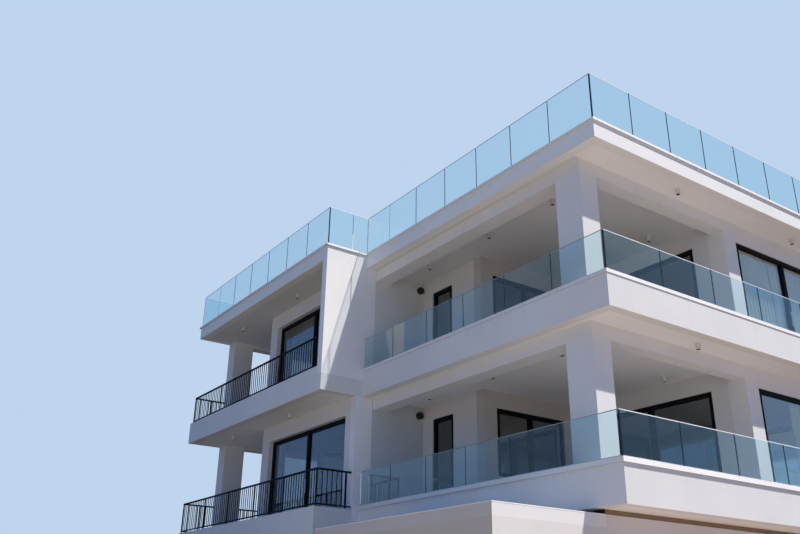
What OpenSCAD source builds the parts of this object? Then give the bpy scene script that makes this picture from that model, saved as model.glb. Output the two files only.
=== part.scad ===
// Apartment block of three storeys with a roof terrace, in millimetres, Z up.
// Lengths are laid out from the left front corner of the slabs, then the whole is centred on its footprint.

/* [Block] */

// length of the sunlit front between the two slab corners
block_l = 13400; // [12400:50:15000]
// depth from the front slab edge to the back slab edge
block_d = 15250; // [15000:50:17000]
// how far each wing stands out past the side of the front part
wing_out = 1112; // [900:2:1400]
// where the wings begin, behind the front slab edge
wing_y = 7500; // [7400:50:7700]

/* [Levels] */

// ground to the underside of the first slab
ground_h = 3300; // [3100:50:3600]
// underside of the first slab to the underside of the second
first_h = 3150; // [3000:50:3400]
// underside of the second slab to the underside of the roof slab
second_h = 3215; // [3000:5:3400]
// thickness of a floor slab with its screed and tiles
slab_t = 380; // [300:10:420]
// thickness of the ground floor plate
ground_slab_t = 150; // [100:10:250]

/* [Slab edges] */

// width of the upstand that runs round each slab
edge_w = 200; // [150:10:240]
// height of the first slab's edge, coping included
first_edge_h = 700; // [600:5:760]
// height of the second slab's edge, coping included
second_edge_h = 652; // [600:1:700]
// height of the roof slab's edge, coping included
roof_edge_h = 380; // [380:5:600]
// height of the coping on the first slab's edge
first_coping_h = 84; // [40:2:110]
// height of the coping on the second slab's edge
second_coping_h = 66; // [40:2:90]
// height of the coping on the roof's edge
roof_coping_h = 47; // [40:1:90]
// how far the first and the roof's coping stand out past the edge
coping_out = 40; // [20:1:60]
// how far the second coping stands out past the edge
second_coping_out = 17; // [10:1:20]

/* [Walls] */

// thickness of the outer walls
wall_t = 250; // [200:10:300]
// thickness of the cross wall at the front of a wing
cross_t = 200; // [160:10:240]
// columns and front walls of the upper storeys behind the front slab edge
front_set = 700; // [600:20:800]
// front wall of the ground floor behind the front slab edge
ground_set = 620; // [560:10:680]
// columns and side rooms behind the side slab edge
side_set = 300; // [260:10:400]
// side wall of the corner loggia, from the slab corner
loggia_x = 4600; // [4500:10:4700]
// back wall of the corner loggia, from the front slab edge
loggia_y = 5250; // [5200:10:5400]
// wall beside the side balcony, from the slab corner
balcony_x = 1750; // [1650:10:1850]
// wing wall behind the wing's slab edge
wing_set = 942; // [860:2:1000]
// back face of the wing's rooms, from the front slab edge
terrace_y = 12200; // [12150:10:12400]
// wall beside the open back corner, from the slab corner
terrace_x = 3150; // [3100:10:3400]

/* [Columns and beams] */

// width of a front corner column along the front
column_w = 458; // [400:2:500]
// depth of a front corner column
column_d = 615; // [500:5:700]
// width of the pier at the end of the loggia's side wall
pier_w = 400; // [360:10:450]
// depth of that pier
pier_d = 400; // [350:10:500]
// width of the beams between the front corner columns and the piers
front_beam_w = 300; // [250:10:500]
// width of the beams that run back from the front corner columns
side_beam_w = 400; // [300:10:500]
// height of these beams below the slab
beam_h = 265; // [200:5:340]
// height of the beams over the open back corners, below the two lower slabs
back_beam_h = 60; // [40:5:200]
// height of the beams over the open back corners, below the roof slab
roof_back_beam_h = 125; // [40:5:200]
// width of a back corner column along the back
back_column_w = 600; // [500:10:700]
// depth of a back corner column
back_column_d = 450; // [400:10:500]
// back corner column behind the face of the wing wall
back_column_step = 25; // [0:5:60]

/* [Side blocks] */

// how far the low side block stands out past the slab corner
block_out = 2108; // [1600:2:2400]
// where its back face is, from the front slab edge
block_back = 5600; // [5000:50:6200]
// clear gap between its roof and the first slab, and height of the groove along the front wall's top
block_gap = 80; // [40:10:120]
// depth of that groove in the front wall
groove_d = 25; // [10:5:60]
// thickness of its roof
block_roof_t = 200; // [150:10:300]
// how far its roof reaches in under the first slab
block_reach = 205; // [150:5:300]

/* [Doors and windows] */

// height of the door and window heads above the ground floor
ground_door_h = 2420; // [2200:10:2500]
// height of the door and window heads above the first slab's floor
first_door_h = 2400; // [2200:5:2450]
// height of the door and window heads above the second slab's floor
second_door_h = 2445; // [2200:5:2480]
// heads of the front windows below the other heads
front_head_drop = 30; // [0:5:60]
// heads of the wings' windows below the other heads
wing_head_drop = 15; // [0:5:60]
// heads of the balcony doors above the other heads
door_head_lift = 25; // [0:5:40]
// width of the frame bars seen from outside
frame_w = 90; // [50:5:110]
// width of the bar where two sliding leaves meet
meeting_w = 120; // [80:10:150]
// depth of a frame
frame_d = 80; // [60:5:100]
// how far a frame of the front part stands behind the face of its wall
flush_set = 30; // [10:5:60]
// how far a frame of the wings and the back stands behind the face of its wall
deep_set = 120; // [60:5:140]
// thickness of a double pane
pane_t = 28; // [20:2:40]
// height of a window sill above its floor
sill_h = 900; // [700:20:1000]

/* [Guards and railings] */

// height of the glass guards above the first two slab edges
guard_h = 730; // [600:10:900]
// height of the glass guard above the roof's edge
roof_guard_h = 990; // [800:5:1100]
// thickness of the guard glass
guard_t = 20; // [14:2:30]
// guard glass behind the face of the slab edge
guard_set = 20; // [10:5:40]
// open joint between two panels
guard_gap = 12; // [6:1:20]
// pitch of the front panels on the storeys
front_pitch = 1460; // [1200:10:1600]
// pitch of the side panels on the storeys
side_pitch = 1255; // [1100:5:1400]
// pitch of the roof panels
roof_pitch = 1085; // [900:5:1300]
// width of the first panel where the roof guard steps out to a wing
return_pitch = 680; // [500:10:800]
// top of the first wing railings above the coping's level
first_rail_h = 735; // [600:5:900]
// top of the second wing railings above the coping's level
second_rail_h = 710; // [600:5:900]
// railings and back corner columns behind the face of the slab edge
rail_set = 50; // [30:5:80]
// clear gap under the bottom rail
rail_gap = 45; // [30:5:100]
// pitch of the thin upright bars
bar_pitch = 116; // [100:1:140]
// thickness of an upright bar
bar_t = 15; // [10:1:20]
// thickness of the top rail
rail_t = 38; // [30:2:50]
// thickness of the bottom rail and of the posts
post_t = 30; // [20:2:40]
// pitch of the posts on the first storey
first_post_pitch = 1550; // [1200:50:2000]
// pitch of the posts on the second storey
second_post_pitch = 1850; // [1200:50:2000]
// last post of a wing's front railing before the wall
rail_end = 155; // [60:5:300]

/* [Lights] */

// diameter of the round wall lamps
lamp_dia = 170; // [120:10:240]
// depth of the round wall lamps
lamp_t = 70; // [40:5:100]
// middle of a wall lamp beside the balcony wall
lamp_aside = 130; // [100:5:200]
// middle of a wall lamp below the ceiling
lamp_drop = 215; // [150:5:400]
// diameter of the ceiling spots
spot_dia = 90; // [60:5:140]
// height of the ceiling spots
spot_t = 120; // [25:5:160]
// outer front spots from the middle of the block
spot_spread = 3920; // [3500:10:4200]
// front spots behind the slab edge
spot_front = 395; // [300:5:550]
// spots of the side rooms, out from the balcony wall
spot_aside = 645; // [500:5:800]
// spots of the loggia, out from its side wall
spot_loggia = 545; // [400:5:800]
// spots of a wing, out from the wing wall
spot_wing = 350; // [250:10:600]

/* [Hidden] */

render_white = "#e6e6e2";
frame_black = "#25282b";
rail_black = "#15171a";
clear_glass = "#9fc4cc";

// level of each floor, of each ceiling above it and of each slab edge's top
first_z = ground_h;
second_z = first_z + first_h;
roof_z = second_z + second_h;
floors = [ground_slab_t, first_z + slab_t, second_z + slab_t];
ceilings = [first_z, second_z, roof_z];
heads = [floors[0] + ground_door_h, floors[1] + first_door_h, floors[2] + second_door_h];
edge_tops = [first_z + first_edge_h, second_z + second_edge_h, roof_z + roof_edge_h];
band_tops = [edge_tops[0] - first_coping_h, edge_tops[1] - second_coping_h, edge_tops[2] - roof_coping_h];
cut = 10;

// lines of the plan, from the left front corner of the slabs
wing_x = wing_set - wing_out;
back_y = block_d - edge_w;
column_x = side_set + column_w;
pier_x = loggia_x + pier_w;
back_column_x = wing_x + back_column_step;
back_column_end = back_column_x + back_column_w;
back_column_back = block_d - rail_set;
back_column_y = back_column_back - back_column_d;
railing_x = -wing_out + rail_set;
railing_y = wing_y + rail_set;
spot_rows = [2190, 4180, 6375];
wing_spot_rows = [10050, 13400];

// a door or window: direction it runs in, wall face, way into the wall, start, end, sill, leaves, set back,
// head above the storey's heads
front_window = ["x", front_set, 1, pier_x, block_l - pier_x, 0, 2, flush_set, -front_head_drop];
ground_front_window = ["x", ground_set, 1, pier_x, block_l - pier_x, 0, 2, flush_set, -front_head_drop];
loggia_slider = ["y", loggia_x, 1, front_set + pier_d + 400, loggia_y - 550, 0, 2, flush_set, 0];
loggia_window = ["x", loggia_y, 1, balcony_x + 370, loggia_x - 400, sill_h, 2, flush_set, 0];
balcony_door = ["y", balcony_x, 1, loggia_y + 1090, wing_y - 380, 0, 1, flush_set, door_head_lift];
wing_slider = ["y", wing_x, 1, wing_y + 420, terrace_y - 400, 0, 2, deep_set, -wing_head_drop];
terrace_slider = ["x", terrace_y, -1, wing_x + 520, terrace_x - 400, 0, 2, deep_set, -wing_head_drop];
back_window = ["x", back_y, -1, terrace_x + 735, terrace_x + 2815, sill_h, 2, deep_set, -wing_head_drop];
side_window = ["y", side_set, 1, block_back + 400, wing_y - 300, sill_h, 1, deep_set, 0];
storey_windows = [loggia_slider, loggia_window, balcony_door, wing_slider, terrace_slider, back_window];
ground_windows = [wing_slider, terrace_slider, back_window, side_window];

module box(from, to) {
  translate(from) cube(to - from);
}

// draws its children at the left and mirrored at the right
module both_sides() {
  children();
  translate([block_l, 0, 0]) mirror([1, 0, 0]) children();
}

module centred() {
  translate([-block_l / 2, -block_d / 2, 0]) children();
}

// slab outline drawn in by a distance, or out by a negative one
module plan(inset) {
  right = block_l - inset;
  wing_right = block_l + wing_out - inset;
  wing_left = inset - wing_out;
  polygon([[inset, inset], [right, inset], [right, wing_y + inset], [wing_right, wing_y + inset],
    [wing_right, block_d - inset], [wing_left, block_d - inset], [wing_left, wing_y + inset],
    [inset, wing_y + inset]]);
}

module slab_plate(z) {
  translate([0, 0, z]) linear_extrude(slab_t) plan(edge_w);
}

module ring(low, high, out) {
  translate([0, 0, low]) linear_extrude(high - low) difference() {
    plan(-out);
    plan(edge_w);
  }
}

// places on a slab edge where a back column or a wing's cross wall stands
module edge_seats(level) {
  both_sides() {
    box([back_column_x, back_column_y, floors[level]],
      [back_column_end, back_column_back, ceilings[level]]);
    box([level == 2 ? -wing_out : wing_x, wing_y, floors[level]],
      [edge_w, wing_y + cross_t, ceilings[level]]);
  }
}

// edge of a storey's slab, level 1 or 2
module storey_band(level) {
  difference() {
    ring(ceilings[level - 1], band_tops[level - 1], 0);
    edge_seats(level);
  }
}

// coping under the glass guards of a storey, none on the wings
module storey_coping(level, out) {
  low = band_tops[level - 1];
  high = edge_tops[level - 1];
  intersection() {
    ring(low, high, out);
    box([-out, -out, low], [block_l + out, wing_y, high]);
  }
}

// box inside a wall: along the opening, into the wall and up
module window_box(w, from, to, near, far, low, high) {
  a = w[1] + w[2] * near;
  b = w[1] + w[2] * far;
  if (w[0] == "x") box([from, min(a, b), low], [to, max(a, b), high]);
  else box([min(a, b), from, low], [max(a, b), to, high]);
}

function sill_of(w, level) = floors[level] + w[5];
function head_of(w, level) = heads[level] + w[8];

module opening(w, level) {
  low = w[5] == 0 ? floors[level] - cut : sill_of(w, level);
  window_box(w, w[3], w[4], -cut, wall_t + cut, low, head_of(w, level));
}

// clear panes of a door or window, near and far are depths in the wall
module panes(w, level, near, far) {
  leaves = w[6];
  clear = (w[4] - w[3] - 2 * frame_w - (leaves - 1) * meeting_w) / leaves;
  for (i = [0 : leaves - 1]) {
    start = w[3] + frame_w + i * (clear + meeting_w);
    window_box(w, start, start + clear, near, far, sill_of(w, level) + frame_w, head_of(w, level) - frame_w);
  }
}

module window_frame(w, level) {
  difference() {
    window_box(w, w[3], w[4], w[7], w[7] + frame_d, sill_of(w, level), head_of(w, level));
    panes(w, level, w[7] - cut, w[7] + frame_d + cut);
  }
}

module window_panes(w, level) {
  middle = w[7] + frame_d / 2;
  panes(w, level, middle - pane_t / 2, middle + pane_t / 2);
}

module window_frames(level, list) {
  window_frame(level == 0 ? ground_front_window : front_window, level);
  both_sides() for (w = list) window_frame(w, level);
}

module window_glass(level, list) {
  window_panes(level == 0 ? ground_front_window : front_window, level);
  both_sides() for (w = list) window_panes(w, level);
}

module upper_storeys() {
  for (level = [1 : 2]) {
    $level = level;
    children();
  }
}

// straight row of glass panels from a point, along X or Y
module guard_run(along, start, length, pitch, low, height) {
  count = ceil(length / pitch - 0.2);
  for (i = [0 : count - 1]) {
    near = i * pitch + guard_gap / 2;
    far = (i == count - 1 ? length : (i + 1) * pitch) - guard_gap / 2;
    translate([start[0], start[1], low])
      if (along == "x") translate([near, 0, 0]) cube([far - near, guard_t, height]);
      else translate([0, near, 0]) cube([guard_t, far - near, height]);
  }
}

// straight railing drawn along X, with a post at each place of the list
module railing(length, height, posts) {
  bars = floor(length / bar_pitch);
  post_y = (rail_t - post_t) / 2;
  bar_y = (rail_t - bar_t) / 2;
  bar_z = rail_gap + post_t / 2;
  translate([0, 0, height - rail_t]) cube([length, rail_t, rail_t]);
  translate([0, post_y, rail_gap]) cube([length, post_t, post_t]);
  for (x = posts) translate([x, post_y, 0]) cube([post_t, post_t, height - rail_t / 2]);
  for (i = [1 : bars - 1]) translate([i * length / bars - bar_t / 2, bar_y, bar_z])
    cube([bar_t, bar_t, height - rail_t / 2 - bar_z]);
}

// where the posts of a run stand
function post_places(length, pitch) =
  let (spans = max(1, round(length / pitch)))
  [for (i = [0 : spans]) i * (length - post_t) / spans];

// railings along a wing and across the open back corner, the run past the column too
module wing_railings(level) {
  joint = 1;
  z = band_tops[level - 1];
  height = edge_tops[level - 1] + (level == 1 ? first_rail_h : second_rail_h) - z;
  back = block_d - rail_set - rail_t;
  first = level == 1 ? railing_y : wing_y + cross_t;
  pitch = level == 1 ? first_post_pitch : second_post_pitch;
  side_length = back + rail_t - first;
  run_x = railing_x + rail_t + joint;
  return_length = wing_x - run_x;
  corner_length = back_column_x - run_x;
  terrace_length = terrace_x - back_column_end;
  both_sides() {
    translate([railing_x + rail_t, first, z]) rotate([0, 0, 90])
      railing(side_length, height, post_places(side_length, pitch));
    translate([run_x, back, z]) railing(corner_length, height, [corner_length / 2]);
    translate([back_column_end, back, z])
      railing(terrace_length, height, post_places(terrace_length, pitch));
    if (level == 1) translate([run_x, railing_y, z])
      railing(return_length, height, [return_length - rail_end]);
  }
}

module storey_guards(level) {
  z = edge_tops[level - 1];
  side = wing_y - guard_set;
  guard_run("x", [guard_set, guard_set], block_l - 2 * guard_set, front_pitch, z, guard_h);
  both_sides() guard_run("y", [guard_set, guard_set + guard_t], side - guard_set - guard_t, side_pitch, z,
    guard_h);
}

// ground floor walls in plan, outside faces at the left
module ground_plan(inset) {
  x0 = -block_out + inset;
  x1 = side_set + inset;
  x2 = wing_x + inset;
  x3 = terrace_x + inset;
  y0 = ground_set + inset;
  y1 = block_back - inset;
  y2 = wing_y + inset;
  y3 = terrace_y - inset;
  y4 = back_y - inset;
  polygon([[x0, y0], [block_l - x0, y0], [block_l - x0, y1], [block_l - x1, y1], [block_l - x1, y2],
    [block_l - x2, y2], [block_l - x2, y3], [block_l - x3, y3], [block_l - x3, y4], [x3, y4], [x3, y3],
    [x2, y3], [x2, y2], [x1, y2], [x1, y1], [x0, y1]]);
}

module wall_slice(level, y_from, y_to) {
  low = floors[level];
  high = ceilings[level];
  intersection() {
    translate([0, 0, low]) linear_extrude(high - low) difference() {
      ground_plan(0);
      ground_plan(wall_t);
    }
    box([-block_out - cut, y_from, low], [block_l + block_out + cut, y_to, high]);
  }
}

// space over a side block, from its wall tops to the first slab
module block_headroom() {
  low = ceilings[0] - block_gap - block_roof_t;
  high = ceilings[0] + cut;
  both_sides() box([-block_out - cut, ground_set - cut, low], [block_reach, block_back + cut, high]);
}

// groove between the front wall and the first slab
module front_groove() {
  low = ceilings[0] - block_gap;
  box([block_reach - cut, ground_set - cut, low],
    [block_l - block_reach + cut, ground_set + groove_d, ceilings[0] + cut]);
}

module ground_slab() {
  color(render_white) centred() linear_extrude(ground_slab_t) ground_plan(0);
}

module ground_front_wall() {
  color(render_white) centred() difference() {
    wall_slice(0, 0, ground_set + wall_t);
    block_headroom();
    front_groove();
    opening(ground_front_window, 0);
  }
}

module ground_side_walls() {
  color(render_white) centred() difference() {
    wall_slice(0, ground_set + wall_t, terrace_y - wall_t);
    block_headroom();
    both_sides() {
      opening(wing_slider, 0);
      opening(side_window, 0);
    }
  }
}

module ground_back_walls() {
  color(render_white) centred() difference() {
    wall_slice(0, terrace_y - wall_t, back_y);
    both_sides() {
      opening(terrace_slider, 0);
      opening(back_window, 0);
    }
  }
}

module side_block_roofs() {
  top = ceilings[0] - block_gap;
  color(render_white) centred() both_sides()
    box([-block_out, ground_set, top - block_roof_t], [block_reach, block_back, top]);
}

module first_slab() {
  color(render_white) centred() slab_plate(first_z);
}

module first_edge_band() {
  color(render_white) centred() storey_band(1);
}

module first_coping() {
  color(render_white) centred() storey_coping(1, coping_out);
}

module second_slab() {
  color(render_white) centred() slab_plate(second_z);
}

module second_edge_band() {
  color(render_white) centred() storey_band(2);
}

module second_coping() {
  color(render_white) centred() storey_coping(2, second_coping_out);
}

module roof_slab() {
  color(render_white) centred() slab_plate(roof_z);
}

module roof_edge_band() {
  color(render_white) centred() ring(roof_z, band_tops[2], 0);
}

module roof_coping() {
  color(render_white) centred() ring(band_tops[2], edge_tops[2], coping_out);
}

module front_corner_columns() {
  color(render_white) centred() upper_storeys() both_sides()
    box([side_set, front_set, floors[$level]], [column_x, front_set + column_d, ceilings[$level]]);
}

module back_corner_columns() {
  color(render_white) centred() {
    for (level = [0 : 2]) both_sides()
      box([back_column_x, back_column_y, level == 0 ? 0 : floors[level]],
        [back_column_end, back_column_back, ceilings[level]]);
  }
}

module front_beams() {
  color(render_white) centred() upper_storeys() both_sides()
    box([column_x, front_set, ceilings[$level] - beam_h],
      [loggia_x, front_set + front_beam_w, ceilings[$level]]);
}

module side_beams() {
  color(render_white) centred() upper_storeys() both_sides()
    box([side_set, front_set + column_d, ceilings[$level] - beam_h],
      [side_set + side_beam_w, wing_y, ceilings[$level]]);
}

module back_beams() {
  color(render_white) centred() for (level = [0 : 2]) both_sides()
    box([back_column_end, back_column_y, ceilings[level] - (level == 2 ? roof_back_beam_h : back_beam_h)],
      [terrace_x, back_y, ceilings[level]]);
}

module front_walls() {
  color(render_white) centred() upper_storeys() difference() {
    union() {
      box([pier_x, front_set, floors[$level]], [block_l - pier_x, front_set + wall_t, ceilings[$level]]);
      both_sides() box([loggia_x, front_set, floors[$level]],
        [pier_x, front_set + pier_d, ceilings[$level]]);
    }
    opening(front_window, $level);
  }
}

module loggia_side_walls() {
  color(render_white) centred() upper_storeys() both_sides() difference() {
    box([loggia_x, front_set + pier_d, floors[$level]],
      [loggia_x + wall_t, loggia_y + wall_t, ceilings[$level]]);
    opening(loggia_slider, $level);
  }
}

module loggia_back_walls() {
  color(render_white) centred() upper_storeys() both_sides() difference() {
    box([balcony_x, loggia_y, floors[$level]], [loggia_x, loggia_y + wall_t, ceilings[$level]]);
    opening(loggia_window, $level);
  }
}

module balcony_walls() {
  color(render_white) centred() upper_storeys() both_sides() difference() {
    box([balcony_x, loggia_y + wall_t, floors[$level]],
      [balcony_x + wall_t, wing_y + cross_t, ceilings[$level]]);
    opening(balcony_door, $level);
  }
}

module wing_cross_walls() {
  color(render_white) centred() both_sides() {
    box([wing_x, wing_y, floors[1]], [balcony_x, wing_y + cross_t, ceilings[1]]);
    box([-wing_out, wing_y, floors[2]], [balcony_x, wing_y + cross_t, ceilings[2]]);
  }
}

module wing_walls() {
  color(render_white) centred() upper_storeys() both_sides() difference() {
    box([wing_x, wing_y + cross_t, floors[$level]], [wing_x + wall_t, terrace_y, ceilings[$level]]);
    opening(wing_slider, $level);
  }
}

module terrace_walls() {
  color(render_white) centred() upper_storeys() both_sides() difference() {
    box([wing_x + wall_t, terrace_y - wall_t, floors[$level]], [terrace_x, terrace_y, ceilings[$level]]);
    opening(terrace_slider, $level);
  }
}

module back_walls() {
  color(render_white) centred() upper_storeys() difference() {
    union() {
      box([terrace_x, back_y - wall_t, floors[$level]], [block_l - terrace_x, back_y, ceilings[$level]]);
      both_sides() box([terrace_x, terrace_y - wall_t, floors[$level]],
        [terrace_x + wall_t, back_y, ceilings[$level]]);
    }
    both_sides() opening(back_window, $level);
  }
}

module ground_window_frames() {
  color(frame_black) centred() window_frames(0, ground_windows);
}

module ground_window_glass() {
  color(clear_glass) centred() window_glass(0, ground_windows);
}

module first_window_frames() {
  color(frame_black) centred() window_frames(1, storey_windows);
}

module first_window_glass() {
  color(clear_glass) centred() window_glass(1, storey_windows);
}

module second_window_frames() {
  color(frame_black) centred() window_frames(2, storey_windows);
}

module second_window_glass() {
  color(clear_glass) centred() window_glass(2, storey_windows);
}

module first_glass_guards() {
  color(clear_glass) centred() storey_guards(1);
}

module second_glass_guards() {
  color(clear_glass) centred() storey_guards(2);
}

module roof_glass_guards() {
  z = edge_tops[2];
  inner = guard_set + guard_t;
  wing_edge = guard_set - wing_out;
  wing_length = block_d - wing_y - 2 * inner;
  color(clear_glass) centred() {
    guard_run("x", [guard_set, guard_set], block_l - 2 * guard_set, roof_pitch, z, roof_guard_h);
    guard_run("x", [wing_edge, block_d - inner], block_l - 2 * wing_edge, roof_pitch, z, roof_guard_h);
    both_sides() {
      guard_run("y", [guard_set, inner], wing_y - guard_t - guard_set, roof_pitch, z, roof_guard_h);
      guard_run("x", [wing_edge, wing_y + guard_set], wing_out, return_pitch, z, roof_guard_h);
      guard_run("y", [wing_edge, wing_y + inner], wing_length, roof_pitch, z, roof_guard_h);
    }
  }
}

module first_wing_railings() {
  color(rail_black) centred() wing_railings(1);
}

module second_wing_railings() {
  color(rail_black) centred() wing_railings(2);
}

module wall_lamps() {
  color(frame_black) centred() for (level = [1 : 2]) both_sides()
    translate([balcony_x - lamp_aside, wing_y, ceilings[level] - lamp_drop]) rotate([90, 0, 0])
      cylinder(h = lamp_t, d = lamp_dia);
}

module ceiling_spot(x, y, level) {
  translate([x, y, ceilings[level] - spot_t]) cylinder(h = spot_t, d = spot_dia);
}

module ceiling_spots() {
  color(frame_black) centred() for (level = [1 : 2]) {
    for (i = [-1 : 1]) ceiling_spot(block_l / 2 + i * spot_spread, spot_front, level);
    both_sides() {
      for (y = spot_rows) ceiling_spot(balcony_x - spot_aside, y, level);
      for (i = [0 : 1]) ceiling_spot(loggia_x - spot_loggia, spot_rows[i], level);
      for (y = wing_spot_rows) ceiling_spot(wing_x - spot_wing, y, level);
    }
  }
}

ground_slab();
ground_front_wall();
ground_side_walls();
ground_back_walls();
side_block_roofs();
first_slab();
first_edge_band();
first_coping();
second_slab();
second_edge_band();
second_coping();
roof_slab();
roof_edge_band();
roof_coping();
front_corner_columns();
back_corner_columns();
front_beams();
side_beams();
back_beams();
front_walls();
loggia_side_walls();
loggia_back_walls();
balcony_walls();
wing_cross_walls();
wing_walls();
terrace_walls();
back_walls();
ground_window_frames();
ground_window_glass();
first_window_frames();
first_window_glass();
second_window_frames();
second_window_glass();
first_glass_guards();
second_glass_guards();
roof_glass_guards();
first_wing_railings();
second_wing_railings();
wall_lamps();
ceiling_spots();
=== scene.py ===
import math

import bmesh
import bpy
from mathutils import Matrix, Vector


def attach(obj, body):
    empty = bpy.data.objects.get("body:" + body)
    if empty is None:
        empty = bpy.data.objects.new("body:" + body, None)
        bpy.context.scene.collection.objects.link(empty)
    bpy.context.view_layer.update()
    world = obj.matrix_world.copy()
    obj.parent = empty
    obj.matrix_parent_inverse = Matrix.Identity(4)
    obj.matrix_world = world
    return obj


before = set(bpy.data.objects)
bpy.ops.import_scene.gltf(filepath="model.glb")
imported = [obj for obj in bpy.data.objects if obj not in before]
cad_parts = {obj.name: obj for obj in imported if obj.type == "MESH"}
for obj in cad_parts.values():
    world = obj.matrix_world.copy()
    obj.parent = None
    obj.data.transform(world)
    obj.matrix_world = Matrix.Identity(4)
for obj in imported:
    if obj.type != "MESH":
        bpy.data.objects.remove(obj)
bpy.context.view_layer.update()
print("frame loaded:", len(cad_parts), "nodes")

# The plan is laid out from the left front corner of the slabs, in metres, and centred like the CAD.
block = {
    "length": 13.40,
    "depth": 15.25,
    "floors": [0.15, 3.68, 6.83],
    "ceilings": [3.30, 6.45, 9.665],
    "edgeTops": [4.00, 7.102, 10.045],    # slab edges, which carry the guards
    "bandTops": [3.916, 7.036, 9.998],    # edge bands, which carry the wings' railings
    "wingOut": 1.112,
    "wingY": 7.50,
    "wingX": -0.17,
    "frontSet": 0.70,
    "groundSet": 0.62,
    "sideSet": 0.30,
    "pierX": 5.00,
    "loggiaX": 4.60,
    "loggiaY": 5.25,
    "balconyX": 1.75,
    "terraceX": 3.15,
    "terraceY": 12.20,
    "backY": 15.05,
    "wallThick": 0.25,
    "heads": [2.42, 2.40, 2.445],         # window heads, above each floor
    "sill": 0.90,
    "blockOut": 2.108,                    # the low side blocks
    "blockBack": 5.60,
    "blockTop": 3.22,
    "blockReach": 0.205,
    "grooveDeep": 0.025,
}
storeyNames = ["ground", "first", "second"]
centre = Vector((block["length"] / 2, block["depth"] / 2, 0))
leftSide = Matrix.Translation(-centre)
rightSide = Matrix.Diagonal((-1, 1, 1, 1)) @ leftSide
bothSides = (leftSide, rightSide)
hair = 0.0005    # keeps the faces of two finishes apart


class Wire:
    # wraps one output socket, so that values are worked out as plain expressions
    def __init__(self, tree, socket=None):
        self.tree = tree
        self.socket = socket

    def node(self, kind, sockets=None, output=0, **settings):
        # any node: its settings first, then the values or links of its sockets
        made = self.tree.nodes.new(kind)
        for name, value in settings.items():
            setattr(made, name, value)
        for name, value in (sockets or {}).items():
            if isinstance(value, Wire):
                self.tree.links.new(value.socket, made.inputs[name])
            else:
                made.inputs[name].default_value = value
        return Wire(self.tree, made.outputs[output] if len(made.outputs) else None)

    def maths(self, operation, *others):
        return self.node("ShaderNodeMath", dict(enumerate((self, *others))), operation=operation)

    def __add__(self, other):
        return self.maths("ADD", other)

    __radd__ = __add__

    def __sub__(self, other):
        return self.maths("SUBTRACT", other)

    def __rsub__(self, other):
        return self.node("ShaderNodeMath", {0: other, 1: self}, operation="SUBTRACT")

    def __mul__(self, other):
        return self.maths("MULTIPLY", other)

    __rmul__ = __mul__

    def __truediv__(self, other):
        return self.maths("DIVIDE", other)

    def __gt__(self, other):
        return self.maths("GREATER_THAN", other)

    def __lt__(self, other):
        return self.maths("LESS_THAN", other)

    def __abs__(self):
        return self.maths("ABSOLUTE")

    def rise(self, low, high):
        # 0 below low, 1 above high, smooth between
        sockets = {"Value": self, "From Min": low, "From Max": high}
        return self.node("ShaderNodeMapRange", sockets, interpolation_type="SMOOTHSTEP")

    def vary(self, base, by):
        return self * by + base

    def blend(self, factor, first, second, kind="MIX"):
        sockets = {"Factor": factor, "A": first, "B": second}
        return self.node("ShaderNodeMix", sockets, output="Result", data_type="RGBA",
                         blend_type=kind)

    def tint(self, factor, tone, colour):
        return self.blend(factor, tone, rgb(*colour), "MULTIPLY")

    def noise(self, place, scale, detail=3.0, rough=0.55):
        sockets = {"Vector": place, "Scale": scale, "Detail": detail, "Roughness": rough}
        return self.node("ShaderNodeTexNoise", sockets)

    def stretch(self, place, x, y, z):
        return self.node("ShaderNodeMapping", {"Vector": place, "Scale": (x, y, z)})

    def axis(self, place, name):
        return self.node("ShaderNodeSeparateXYZ", {"Vector": place}, output=name)

    def facing(self):
        return self.node("ShaderNodeNewGeometry", output="Normal")

    def ray(self, kind):
        return self.node("ShaderNodeLightPath", output="Is " + kind + " Ray")


def rgb(red, green, blue):
    return (red, green, blue, 1.0)


def shaded(colour, share):
    return rgb(*[c * share for c in colour])


def newFinish(name):
    material = bpy.data.materials.new(name)
    material.use_nodes = True
    tree = material.node_tree
    tree.nodes.clear()
    start = Wire(tree)
    return material, start, start.node("ShaderNodeTexCoord", output="Object")


def showSurface(start, surface):
    start.node("ShaderNodeOutputMaterial", {"Surface": surface})


def dressed(material, start, tone, rough, normal, steady=None):
    # steady holds the sockets whose value is the same all over
    sockets = {"Base Color": tone, "Roughness": rough, "Normal": normal, **(steady or {})}
    showSurface(start, start.node("ShaderNodeBsdfPrincipled", sockets))
    return material


def bumpFrom(start, height, distance, strength, under=None):
    sockets = {"Height": height, "Distance": distance, "Strength": strength}
    if under is not None:
        sockets["Normal"] = under
    return start.node("ShaderNodeBump", sockets)


flat = 0.5    # a face looks along an axis when its normal's part on it is above this

render = {
    "pale": 1.035,                    # shares of the paint's own colour
    "dull": 0.965,
    "trowelled": 0.93,
    "dirt": (0.80, 0.785, 0.755),
    "trowelAmount": 0.18,
    "dirtAmount": 0.5,
    "rainAmount": 0.12,
    "streakAmount": 0.30,
    "streakDeep": 0.30,
    "splashAmount": 0.9,
    "splashHigh": 0.75,
    "insideShadeTint": (0.77, 0.785, 0.78),
    "lowInsideShadeTint": (0.82, 0.88, 0.92),
}


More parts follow.
